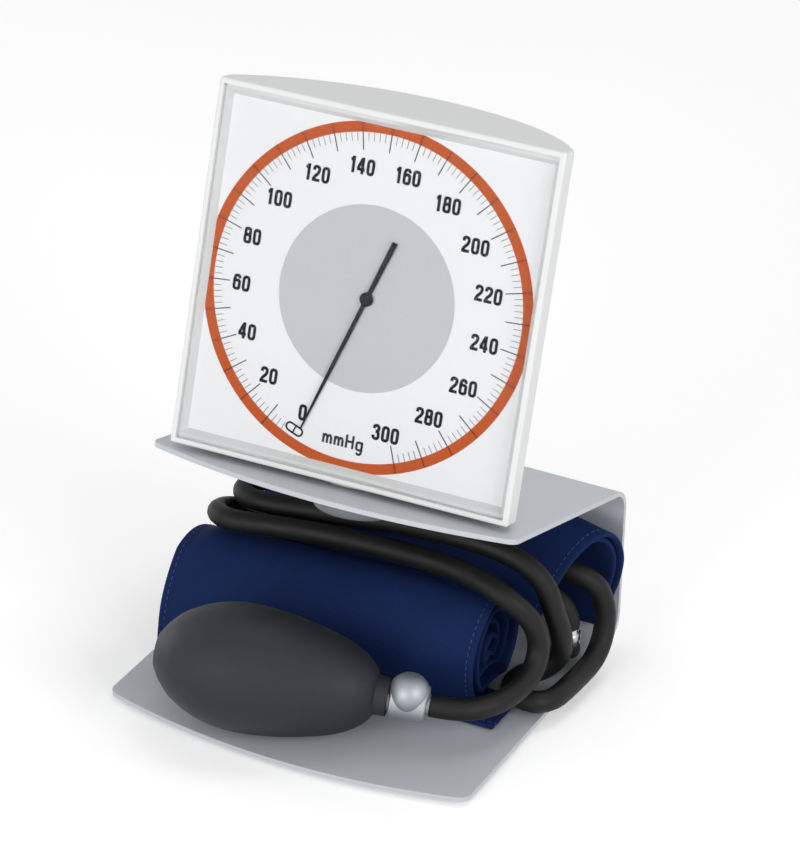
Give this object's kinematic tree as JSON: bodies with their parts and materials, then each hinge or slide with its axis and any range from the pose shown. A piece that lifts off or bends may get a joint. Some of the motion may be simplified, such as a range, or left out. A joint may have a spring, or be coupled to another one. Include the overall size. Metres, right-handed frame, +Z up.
{
  "type": "desk aneroid sphygmomanometer",
  "caption": "Desk aneroid blood-pressure gauge: square dial head swivelling on a bent sheet stand, with rolled cuff, rubber bulb and looped hoses stored under its shelf.",
  "frame": {"origin": "under the middle of the object, at the level of its foot pads' lower faces", "axes": "+X to the user's right, +Y to the back, +Z up; the dial faces -Y and up"},
  "size_m": [0.1686, 0.1641, 0.2462],
  "materials": {
    "grey_paint": "satin",
    "white_housing": "satin moulded",
    "bevel_white": "matte",
    "dial_white": "printed satin",
    "clear_window": "clear",
    "black_pointer": "matte",
    "brass": "turned",
    "bright_chrome": "polished",
    "steel": "zinc plated",
    "dark_rubber": "matte",
    "bulb_rubber": "matte",
    "hose_rubber": "matte",
    "nylon": "natural",
    "grey_plastic": "satin",
    "navy_cloth": "woven nylon"
  },
  "bodies": {
    "stand": {"stand_plate": "grey_paint", "foot_pads": "dark_rubber", "slip_washer": "nylon", "swivel_cup": "grey_plastic", "cup_cap": "grey_plastic", "cup_screws": "steel", "hose_outlet": "bright_chrome", "cuff": "navy_cloth", "bladder_port": "dark_rubber", "bladder_tube": "dark_rubber", "hose_connector": "bright_chrome", "gauge_hose": "hose_rubber", "bulb_hose": "hose_rubber", "bulb": "bulb_rubber", "inlet_valve": "bright_chrome", "valve_body": "bright_chrome"},
    "valve_knob_body": {"valve_knob": "bright_chrome"},
    "gauge_head": {"swivel_spindle": "steel", "seal_ring": "dark_rubber", "spindle_clip": "steel", "spindle_nut": "brass", "housing_shell": "white_housing", "back_screws": "steel", "front_window": "clear_window", "bevel_frame": "bevel_white", "dial_plate": "dial_white", "dial_posts": "brass", "movement_front_plate": "brass", "movement_rear_plate": "brass", "movement_pillars": "brass", "capsule_bracket": "brass", "capsule_pillars": "brass", "pressure_capsule": "brass", "capsule_nut": "brass", "air_elbow": "brass", "inner_tube": "dark_rubber", "hairspring": "brass"},
    "pointer_body": {"pointer": "black_pointer", "pointer_arbor": "steel"},
    "sector_body": {"sector_gear": "brass", "sector_arbor": "steel"},
    "rocker_body": {"rocker_shaft": "steel"},
    "pin_body": {"capsule_pin": "steel"}
  },
  "joints": [
    {"name": "head_swivel", "type": "hinge", "parent": "stand", "child": "gauge_head", "pos_m": [0, -0.00232, 0.09508], "axis": [0, 0.2672, 0.9636], "range_deg": [-92, 86]},
    {"name": "pointer_turn", "type": "hinge", "parent": "gauge_head", "child": "pointer_body", "pos_m": [0.0004, 0.01066, 0.17046], "axis": [-0.0523, 0.9623, -0.2669], "range_deg": [0, 322]},
    {"name": "sector_turn", "type": "hinge", "parent": "gauge_head", "child": "sector_body", "pos_m": [0.0004, 0.00531, 0.15119], "axis": [-0.0523, 0.9623, -0.2669], "range_deg": [-35.79, 0]},
    {"name": "rocker_turn", "type": "hinge", "parent": "gauge_head", "child": "rocker_body", "pos_m": [-0.00208, 0.0158, 0.14828], "axis": [0, 0.2672, 0.9636], "range_deg": [0, 27.09]},
    {"name": "pin_slide", "type": "slide", "parent": "gauge_head", "child": "pin_body", "axis": [0.0523, -0.9623, 0.2669], "range_m": [0, 0.00188]},
    {"name": "release_knob_turn", "type": "hinge", "parent": "stand", "child": "valve_knob_body", "pos_m": [0.04249, -0.03668, 0.02383], "axis": [0, 0, 1], "range_deg": [0, 540]}
  ],
  "couplings": [
    {"joint": "sector_turn", "follows": "pointer_turn", "ratio": -0.11111},
    {"joint": "rocker_turn", "follows": "pointer_turn", "ratio": 0.084108},
    {"joint": "pin_slide", "follows": "pointer_turn", "m_per_rad": 0.00033331}
  ]
}
